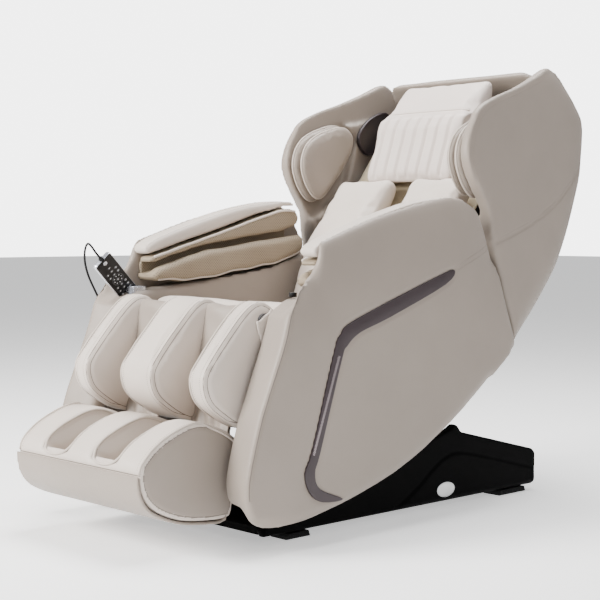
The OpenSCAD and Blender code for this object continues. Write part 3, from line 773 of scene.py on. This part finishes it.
def back_side():
    o = piece("back_cover_left", *slab(side_line, 300, 384), SIDE)
    pocket = curve([(150, 770), (150, 1030), (260, 1036), (330, 1048), (440, 1066), (486, 1010), (450, 880),
        (330, 770)], 1)
    carve(o, *slab(pocket, 290, 329))
    soften(o, 6.0, 1)
    a = get(o)
    front = curve([(300, 790), (244, 870), (224, 945), (270, 1040), (339, 1081), (430, 1112), (504, 1140),
        (612, 1184)], 5, False)
    rear = curve(back_rear, 5, False)
    near = curve([(410, 446), (390, 492), (363, 556), (340, 628), (316, 700), (300, 790)], 5, False)
    inner = np.interp(a[:, 2], [1050, 1080], [329, 300])
    w = (np.interp(a[:, 2], *width_at) - inner) / (384 - inner)
    a = round_face(a, [(front, 11, 10), (rear, 70, 34), (near, 30, 14)], 384.0)
    a[:, 0] = np.where(a[:, 0] > inner, inner + (a[:, 0] - inner) * w, a[:, 0])
    step = 329 - 29 * ease((a[:, 1] - 380) / 240)
    a[:, 0] = np.where(a[:, 2] > 940 + 0.24 * a[:, 1], np.maximum(a[:, 0], step), a[:, 0])
    put(o, a)
    return soften(o, 6.0, 5)


wing_edge = curve([(300, 790), (246, 872), (228, 945), (272, 1036), (339, 1076), (430, 1107), (504, 1134),
    (606, 1176)], 6, False)
lower_seam = curve([(318, 700), (400, 726), (500, 762), (600, 815), (680, 880), (726, 930)], 6, False)
cover = back_side()
for line in (wing_edge[3:], lower_seam):
    on = np.c_[np.full(len(line), 384), line + ([6, -6] if line is not lower_seam else [0, 0])]
    groove(cover, onto(cover, on, (-1, 0, 0))[0], 1.8, 4.0)
ripple(cover, 160, 0.5, 6)
covers = {"left": cover, "right": twin(cover, "back_cover_right")}
for side, s in SIDES:
    o = covers[side]
    stand(o, "back", ["back_side_" + side])
    rows = [[(s * 390, y + 12, z - 9) for y, z in wing_edge[5:-3]]]
    rows += [[(s * 390, y, z + k) for y, z in lower_seam[1:-1]] for k in (-7, 7)]
    sewn("back_stitches_" + side, o, rows, "back", (-s, 0, 0))

rear_wall = np.vstack([curve(back_rear, 4, False), curve(back_inner, 4, False)])
o = piece("back_rear_cover", *slab(rear_wall, -299.5, 299.5), SIDE)
soften(o, 7.0, 1)
a = get(o)
top = np.interp(np.abs(a[:, 0]), [0, 190, 230, 262, 285, 299.5], [1190, 1189, 1182, 1166, 1142, 1106])
a[:, 2] = np.minimum(a[:, 2], top)
put(o, a)
soften(o, 6.0, 4)
for x in (-190, 190):
    line = [(x, y + 30, z) for y, z in curve(back_rear, 5, False)]
    groove(o, onto(o, line, (0, -1, 0))[0], 2.0, 4.5)
ripple(o, 180, 0.6, 7)
stand(o, "back", ["back_shell"])
rows = []
for x in (-197, -183, 183, 197):
    rows.append([(x, y + 30, z) for y, z in curve(back_rear, 5, False)[3:-3]])
sewn("back_rear_stitches", o, rows, "back", (0, -1, 0))

liner = curve([(222, 478), (228, 560), (268, 664), (358, 772), (420, 846), (578, 1048)], 6, False)
liner = relaxed(liner, 2)
cols = np.linspace(-256, 256, 41)
v, f = [], []
for i, (y, z) in enumerate(liner):
    for x in cols:
        v.append((x, y + 3 + 1.5 * math.sin(x / 23.0 + i / 3.0), z))
for i in range(len(liner) - 1):
    for k in range(len(cols) - 1):
        q = i * len(cols) + k
        f.append((q, q + 1, q + 1 + len(cols), q + len(cols)))
o = piece("back_lining", v, f, SATIN)
thick = o.modifiers.new("t", "SOLIDIFY")
thick.thickness = 0.0025
baked(o)
stand(o, "back", ["back_liner"])

lump = curve([(156, 492), (168, 580), (215, 700), (290, 796), (362, 872), (398, 858), (396, 828), (340, 758),
    (258, 664), (216, 560), (212, 486)], 4)
for side, s in SIDES:
    o = piece("back_pad_" + side, *mirror_if(s, slab(lump, 36, 248, 24, 24)), LIGHT)
    soften(o, 8.0, 3)
    puff(o, 4.0, 8.0)
    ripple(o, 80, 1.6, 8 + s)
    stand(o, "back", ["back_pads"])

leaf = curve([(312, 822), (262, 850), (232, 920), (254, 986), (320, 1026), (408, 1044), (450, 1014),
    (438, 958), (384, 886)], 4)
for side, s in SIDES:
    for k, (x0, x1, grow) in enumerate(((268, 296, 4), (297, 327, -3))):
        rim = inset(leaf, grow)
        o = piece(f"shoulder_pad_{side}_{k}", *mirror_if(s, slab(rim, x0, x1, 11, 11, 18)), SIDE)
        soften(o, 5.0, 3)
        puff(o, 4.0, 3.0)
        stand(o, "back", ["shoulder_pads"])
        welt(f"shoulder_piping_{side}_{k}", o, [(s * (x0 + x1) / 2, y, z) for y, z in rim], 2.8, "back",
            WELT, None, True)
    spk = curve([(480, 1010), (520, 962), (598, 990), (626, 1058), (600, 1098), (522, 1068)], 4)
    o = piece("speaker_" + side, *mirror_if(s, slab(spk, 286, 299, 5)), SPEAKER)
    soften(o, 3.5, 2)
    stand(o, "back", ["speakers"])
    ring = inset(spk, 3)
    v, f = tube_mesh([(s * 287, y, z) for y, z in ring], 2.4, 8, True)
    o = piece("speaker_rim_" + side, v, f, TRIM)
    stand(o, "back")

# ---------------------------------------------------------------- pillow
pillow_line = curve([(384, 884), (404, 866), (424, 880), (466, 946), (556, 1076), (576, 1116), (576, 1150),
    (558, 1158), (526, 1132), (480, 1086), (440, 1046), (416, 980)], 4)
o = piece("pillow", *slab(pillow_line, -163, 163, 18, 18), PILLOW)
soften(o, 4.0, 4)
puff(o, 3.0, 5.0)
a, n = get(o), normals(o)
up = ease((1062 - a[:, 2]) / 14) * ease((a[:, 2] - 872) / 30)
facing = ease((-n[:, 1] * 0.75 + n[:, 2] * 0.3) / 0.3)
phase = np.abs(((a[:, 0] + 165) / 41.25) % 1 - 0.5) * 2
a += n * (up * facing * (4.5 - 10.0 * np.exp(-(((1 - phase) / 0.22) ** 2))))[:, None]
put(o, a)
cross = [(x, 476, 1068) for x in range(-158, 159, 8)]
groove(o, onto(o, cross, (0, 1, -0.4))[0], 3.0, 5.0)
ripple(o, 130, 0.6, 10)
stand(o, "pillow", ["head_pillow"])
welt("pillow_piping", o, cross, 2.8, "pillow", PILLOW, (0, 1, -0.4))

# ---------------------------------------------------------------- leg rest
calf_line = curve([(-400, 570), (-446, 550), (-506, 490), (-562, 424), (-576, 388), (-560, 338), (-516, 301),
    (-474, 277), (-436, 270), (-418, 296), (-402, 400), (-362, 478), (-346, 512), (-356, 548)], 4)
front_edge = curve([(-404, 566), (-446, 547), (-504, 488), (-558, 424), (-571, 388), (-556, 341), (-504, 300),
    (-470, 291)], 6, False)
panel_line = inset(calf_line, 10)


def calf_wall(name, x0, x1):
    o = piece(name, *slab(calf_line, x0, x1, 9, 9), LIGHT)
    soften(o, 5.0, 3)
    puff(o, 3.0, 3.0)
    for sense in (1, -1):
        quilt(o, panel_line, sense, 7.0, 52.0, 2.8, 5.0)
    ripple(o, 120, 0.5, int(x0) % 7 + 11)
    stand(o, "legrest", ["calf_walls"])
    line = [(x0 + 3, y, z) for y, z in front_edge]
    welt(name + "_piping", o, line, 3.2, "legrest", WELT)
    # Dark lines along both front edges and round the panels: painted shade in the seam grooves, partly dark
    # thread.
    for k, x in enumerate((x0 + 9, x1 - 8)):
        seam_shade_line(f"{name}_seam_{k}", o, [(x, y, z) for y, z in front_edge], "legrest")
    for k, x in enumerate((x0, x1)):
        seam_shade_line(f"{name}_panel_{k}", o, [(x, y, z) for y, z in panel_line], "legrest", True)
    rows = [[(x, y, z) for y, z in front_edge[2:-2]] for x in (x0 + 15, x1 - 18)]
    sewn(name + "_stitches", o, rows, "legrest")
    return o


calf_wall("calf_wall_left", 200.5, 260)
calf_wall("calf_wall_mid", -64, 64)
calf_wall("calf_wall_right", -260, -200.5)
pad = curve([(-404, 558), (-418, 546), (-424, 512), (-430, 480), (-444, 400), (-452, 322), (-446, 300),
    (-430, 300), (-418, 400), (-402, 470), (-396, 540)], 4)
fall = curve([(-446, 322), (-455, 284), (-463, 244), (-470, 205), (-461, 205), (-453, 244), (-443, 284),
    (-434, 322)], 3)
for side, s in SIDES:
    o = piece("calf_pad_" + side, *mirror_if(s, slab(pad, 66, 198, 10, 10)), SIDE)
    soften(o, 6.0, 3)
    a, n = get(o), normals(o)
    a += n * (ease((-n[:, 1] - 0.3) / 0.4) * 2.5 * np.cos((a[:, 0] * s - 132) / 66 * math.pi))[:, None]
    put(o, a)
    ripple(o, 70, 1.3, 15)
    stand(o, "legrest", ["calf_back_pads"])

    o = piece("calf_gaiter_" + side, *mirror_if(s, slab(fall, 62, 203)), SIDE)
    soften(o, 3.5, 2)
    a = get(o)
    t = ease((322 - a[:, 2]) / 40) * ease((a[:, 2] - 200) / 20)
    fine, broad = np.sin(a[:, 0] / 6.5 + a[:, 2] / 31), np.sin(a[:, 0] / 15 - a[:, 2] / 17 + s)
    a[:, 1] += t * (3.2 * fine + 2.2 * broad)
    put(o, a)
    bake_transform(o)

# ---------------------------------------------------------------- foot box
foot_line = [(-744, 196), (-738, 156), (-708, 117), (-637, 84), (-560, 71), (-500, 70), (-482, 88),
    (-466, 190), (-462, 236), (-478, 260), (-524, 284), (-591, 298), (-680, 268), (-734, 226)]
sole_line = [(-744, 196), (-738, 156), (-708, 117), (-637, 84), (-560, 71), (-514, 70), (-504, 88),
    (-500, 112), (-540, 118), (-572, 134), (-586, 149), (-614, 149.5), (-640, 142), (-668, 144), (-688, 160), (-702, 184),
    (-714, 206), (-728, 216), (-741, 210)]
foot_smooth = curve(foot_line, 4)
parts = [slab(foot_smooth, 150, 249, 12, 8), flipped(*slab(foot_smooth, 150, 249, 12, 8)),
    slab(foot_smooth, -50, 50, 14, 14), slab(curve(sole_line, 3), -160, 160)]
o = piece("foot_cushion", *joined(*parts), LIGHT)
soften(o, 5.0, 3)
cover_line = inset(foot_smooth, 9)
inner_line = curve([(-720, 224), (-676, 252), (-591, 282), (-524, 264), (-500, 236), (-510, 150), (-600, 152),
    (-690, 176)], 4)
for sense in (1, -1):
    quilt(o, cover_line, sense, 1.5, 40.0, 2.4, 4.0, least=236)
    quilt(o, inner_line, sense, 6.0, 36.0, 1.5, 5.0, least=-160, most=-140)
    quilt(o, inner_line, sense, 6.0, 36.0, 1.5, 5.0, least=40, most=60)
ripple(o, 120, 0.7, 20)
lap = [(x, -746, 197) for x in range(-244, 245, 8)]
groove(o, lap, 1.8, 4.0)
# Dark line along the lap seam: painted shade in its groove, partly dark thread.
seam_shade_line("foot_lap_shade_line", o, lap, "footbox")
two_tone(o, SIDE, cover_line, 238)
stand(o, "footbox", ["foot_pad"])
ridge = curve([(-472, 240), (-530, 276), (-591, 294), (-680, 265), (-730, 224), (-742, 200)], 6, False)
mouth = curve([(-490, 236), (-526, 274), (-591, 293), (-680, 265), (-722, 238)], 6, False)
for side, s in SIDES:
    line = [(s * 50, y, z) for y, z in mouth]
    back_up = [(s * 150, y, z) for y, z in mouth][::-1]
    bow = curve([(54, -728, 230), (62, -742, 213), (100, -746, 207), (138, -742, 213), (146, -728, 230)], 6,
        False)
    loop = np.vstack([line[:-1], bow * [s, 1, 1], back_up[1:]])
    welt("foot_piping_" + side, o, loop, 3.6, "footbox", WELT)
    welt("foot_edge_" + side, o, [(s * 241, y, z) for y, z in ridge], 3.0, "footbox", WELT)
    inward = np.outer(np.sign(100 - np.abs(loop[:, 0])) * s, [1, 0, 0])
    # Dark lines beside the piping and round the side panels: painted shade in the seam grooves, partly dark
    # thread.
    for k, shift in enumerate((-6, 6)):
        near = loop + inward * shift
        seam_shade_line(f"foot_seam_{side}_{k}", o, near, "footbox")
    panel = [(s * 249, y, z) for y, z in cover_line]
    seam_shade_line("foot_panel_" + side, o, panel, "footbox", True)
    rows = [[(s * x, y, z) for y, z in ridge[2:-2]] for x in (48, 152, 232)]
    sewn("foot_stitches_" + side, o, rows, "footbox")

skin_out = curve([(-752, 196), (-746, 150), (-714, 108), (-640, 75), (-560, 62), (-509, 61), (-496, 80),
    (-486, 200)], 5, False)
skin_in = curve([(-492, 200), (-501, 86), (-512, 68), (-560, 69), (-638, 82), (-710, 114), (-740, 152),
    (-746, 196)], 5, False)
o = piece("foot_cover", *slab(np.vstack([skin_out, skin_in]), -249, 249), SIDE)
soften(o, 5.0, 2)
stand(o, "footbox", ["foot_shell"])

# ---------------------------------------------------------------- base
base_line = np.array([(-421, 18), (-424, 34), (-412, 44), (240, 208), (262, 219), (274, 212), (286, 196),
    (596, 118), (609, 106), (609, 28), (600, 18)], float)
swage = curve([(23, 22), (70, 46), (118, 74), (166, 108), (215, 134), (276, 143), (401, 116), (532, 82),
    (606, 64)], 5, False)
swage = np.vstack([swage, [(606, 22), (300, 22)]])
for side, s in SIDES:
    o = piece("base_side_" + side, *mirror_if(s, slab(base_line, 266, 290, 0, 5.0)), BASE)
    soften(o, 4.5, 2)
    quilt(o, swage, s, 2.6, 7.0, 1.2, 3.5)
    stand(o, "base", ["base_cover_" + side])
    disc = [(219 + 34 * math.cos(k * math.pi / 16), 50 + 19 * math.sin(k * math.pi / 16)) for k in range(32)]
    o = piece("base_badge_" + side, *mirror_if(s, joined(slab(disc, 289, 293.6, 0, 1.0),
        tube_mesh([(293.2, y, z) for y, z in disc], 1.0, 8, True))), BADGE)
    stand(o, "base", ["side_badges"])
    for k, (y0, y1) in enumerate(((-345, -267), (456, 571))):
        foot = [(y0, 0), (y1, 0), (y1 - 5, 14), (y0 + 5, 14)]
        ribs = [slab([(y, 3), (y + 3, 3), (y + 3, 11), (y, 11)], 286, 287.2)
            for y in range(y0 + 9, y1 - 9, 7)]
        o = piece(f"floor_foot_{side}_{k}", *mirror_if(s, joined(slab(foot, 226, 286, 3, 3), *ribs)), RUBBER)
        stand(o, "base", ["floor_feet"])

FINISH = (
    (BASE, "base_front_cover base_rear_cover"),
    (GREY, "control_box air_pump calf_shell"),
    (GLOSS, "power_inlet cord_gland"),
    (RED, "power_rocker"),
    (RUBBER, "transport_wheel_left transport_wheel_right"),
    (STEEL, "cover_screws tilt_actuator tilt_rod recline_actuator recline_rod leg_actuator kneading_shaft "
        "foot_frame"),
    (PAINTED, "base_frame seat_frame back_frame carriage_frame massage_arm_left massage_arm_right "
        "legrest_frame"),
    (ROLLER, "massage_roller_left massage_roller_right foot_rollers"),
)
for material, names in FINISH:
    for name in names.split():
        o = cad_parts[name]
        o.data.materials.clear()
        o.data.materials.append(material)

for side, s in SIDES:
    cell = [(-288, 358), (-290, 368), (-270, 376), (-150, 377), (-120, 370), (-90, 377), (0, 377), (30, 370),
        (60, 377), (120, 376), (138, 366), (138, 358)]
    o = piece("seat_cell_" + side, *mirror_if(s, slab(cell, 18, 230, 8, 8)), SATIN)
    soften(o, 5.0, 2)
    stand(o, "seat", ["seat_airbags"])

# ---------------------------------------------------------------- remote, its dock and the arm controls


def held(v):
    """From (key side, width, length) of the remote to the frame."""
    v = np.array(v, float)
    return remote_at + v[:, :1] * remote_n + v[:, 1:2] * remote_w + v[:, 2:] * remote_l


def rounded(w, l, r, at=(0, 0), steps=5):
    """Rectangle with rounded corners."""
    out = []
    for cx, cy, start in ((1, 1, 0), (-1, 1, 90), (-1, -1, 180), (1, -1, 270)):
        x, y = at[0] + cx * (w / 2 - r), at[1] + cy * (l / 2 - r)
        for k in range(steps + 1):
            t = math.radians(start + 90 * k / steps)
            out.append((x + r * math.cos(t), y + r * math.sin(t)))
    return np.array(out)


def remote_part(name, parts, material, body, nodes=()):
    v, f = joined(*parts)
    return stand(piece(name, held(v), f, material), body, nodes)


grip = rounded(56.6, 158.5, 7, (0, 80))
v, f = tube_mesh([(0, 0, d) for d in (157, 158, 160, 161, 163, 164.8)], [7.5, 7.2, 7.0, 6.2, 6.2, 5.4], 20)
remote_part("remote_case", [slab(grip, -7.4, 5.6, 3.0, 1.4)], SILVER, "remote",
    ["remote_body"])
remote_part("remote_back", [slab(inset(grip, 2.2), -7.6, -6.0, 1.0)], GLOSS, "remote")
remote_part("remote_relief", [(v, f)], RUBBER, "remote")
remote_part("remote_face", [slab(inset(grip, 1.5), 4.8, 7.1, 0, 1.0)], GLOSS, "remote")
keys, marks = [], []
for row in range(8):
    for col in (-1, 0, 1):
        if row in (3, 4) or (row == 7 and col):
            continue
        at = (col * 15.0, 22 + row * 14.5)
        keys.append(slab(rounded(10.5, 8.5, 4, at, 3), 6.6, 7.75, 0, 0.5))
        kind = (row * 3 + col) % 3
        if kind == 0:
            marks.append(slab(rounded(4.4, 1.3, 0.6, at, 2), 7.6, 7.9))
        elif kind == 1:
            marks.append(tube_mesh([(7.7, at[0] + 1.9 * math.cos(t), at[1] + 1.9 * math.sin(t))
                for t in np.arange(10) * math.pi / 5], 0.45, 5, True))
        else:
            marks.append(slab(np.array([(at[0] - 1.9, at[1] - 1.6), (at[0] + 1.9, at[1] - 1.6),
                (at[0], at[1] + 2.1)]), 7.6, 7.9))
ring = [(7.2, 17 * math.cos(t), 73 + 17 * math.sin(t)) for t in np.arange(28) * math.pi / 14]
keys.append(tube_mesh(ring, 1.3, 8, True))
keys.append(slab(rounded(13, 13, 6.4, (0, 73), 4), 6.6, 7.8, 0, 0.6))
for t in range(8):
    c = (12 * math.cos(t * math.pi / 4), 73 + 12 * math.sin(t * math.pi / 4))
    keys.append(slab(rounded(6.4, 6.4, 3.1, c, 3), 6.6, 7.7, 0, 0.4))
    marks.append(slab(rounded(2.4, 2.4, 1.1, c, 2), 7.6, 7.9))
marks.append(slab(rounded(5.0, 1.2, 0.5, (0, 73), 2), 7.7, 7.9))
marks.append(slab(rounded(1.2, 5.0, 0.5, (0, 73), 2), 7.7, 7.9))
remote_part("remote_keys", keys, KEY, "remote", ["remote_keypad"])
remote_part("remote_key_marks", marks, MARK, "remote")
dial = rounded(12, 12, 5.9, (0, 146), 6)
mark = [(8.5, 2.6 * math.sin(t), 146 + 2.6 * math.cos(t)) for t in np.linspace(0.6, 5.7, 12)]
remote_part("power_button", [slab(dial, 5.9, 8.6, 0, 0.9), tube_mesh(mark, 0.4, 5)], SILVER, "key",
    ["power_key"])


def upright(v, f):
    """Turns a slab so that its outline lies level and it runs up z."""
    return v[:, [1, 2, 0]], f


housing = rounded(55.5, 53.5, 13, (-322, -341), 6)
o = piece("remote_cradle", *upright(*slab(housing, 541, 584, 2, 3)), SILVER)
v, f = slab(rounded(60, 166, 2, (0, 81.5)), -9, 9)
carve(o, held(v), f)
stand(o, "seat", ["remote_dock"])
rim = [(x, y, 583.2) for x, y in inset(housing, 2.0)]
o = piece("remote_cradle_lip", *tube_mesh(rim, 1.8, 8, True), SILVER)
stand(o, "seat")

plate = rounded(39, 38, 18.9, (308, -346), 8)
inner = rounded(20.4, 20.4, 10.1, (308, -346), 8)
o = piece("shortcut_plate", *upright(*slab(plate, 566, 587, 0, 3)), SILVER)
carve(o, *upright(*slab(inner, 575, 600)))
stand(o, "seat", ["shortcut_panel"])
cap = slab(rounded(19, 19, 9.4, (308, -346), 8), 578, 588.5, 0, 2)
o = piece("shortcut_key", *upright(*cap), GLOSS)
stand(o, "shortcut", ["shortcut_button"])

# ---------------------------------------------------------------- floor and light
v = [(-30000, -30000, 0), (30000, -30000, 0), (30000, 30000, 0), (-30000, 30000, 0)]
floor = piece("floor", v, [(0, 1, 2, 3)], FLOOR)
world = bpy.data.worlds.new("studio")
scene.world = world
world.use_nodes = True
sky = world.node_tree
ambient = sky.nodes["Background"]
ambient.inputs["Color"].default_value = (0.97, 0.98, 1.0, 1)
ambient.inputs["Strength"].default_value = 0.32
bright = node(sky, "ShaderNodeBackground", Color=(1, 1, 1, 1), Strength=5.0)
seen = node(sky, "ShaderNodeLightPath")
both = node(sky, "ShaderNodeMixShader")
for out, into in ((seen.outputs["Is Camera Ray"], both.inputs[0]), (ambient.outputs[0], both.inputs[1]),
        (bright.outputs[0], both.inputs[2]), (both.outputs[0], sky.nodes["World Output"].inputs[0])):
    sky.links.new(out, into)


def softbox(name, at, size, power, colour=(1, 1, 1), to=(0, 0, 0.5)):
    data = bpy.data.lights.new(name, "AREA")
    data.shape = "RECTANGLE"
    data.size, data.size_y = size
    data.energy = power
    data.color = colour
    o = bpy.data.objects.new(name, data)
    scene.collection.objects.link(o)
    o.location = at
    o.rotation_mode = "QUATERNION"
    o.rotation_quaternion = (Vector(to) - Vector(at)).to_track_quat("-Z", "Y")


softbox("key", (-1.5, -3.6, 2.3), (1.8, 1.8), 430, (1.0, 0.98, 0.95))
softbox("side", (3.3, -1.6, 2.2), (1.6, 2.0), 45)
softbox("top", (-0.2, 0.6, 3.8), (2.2, 2.2), 260)
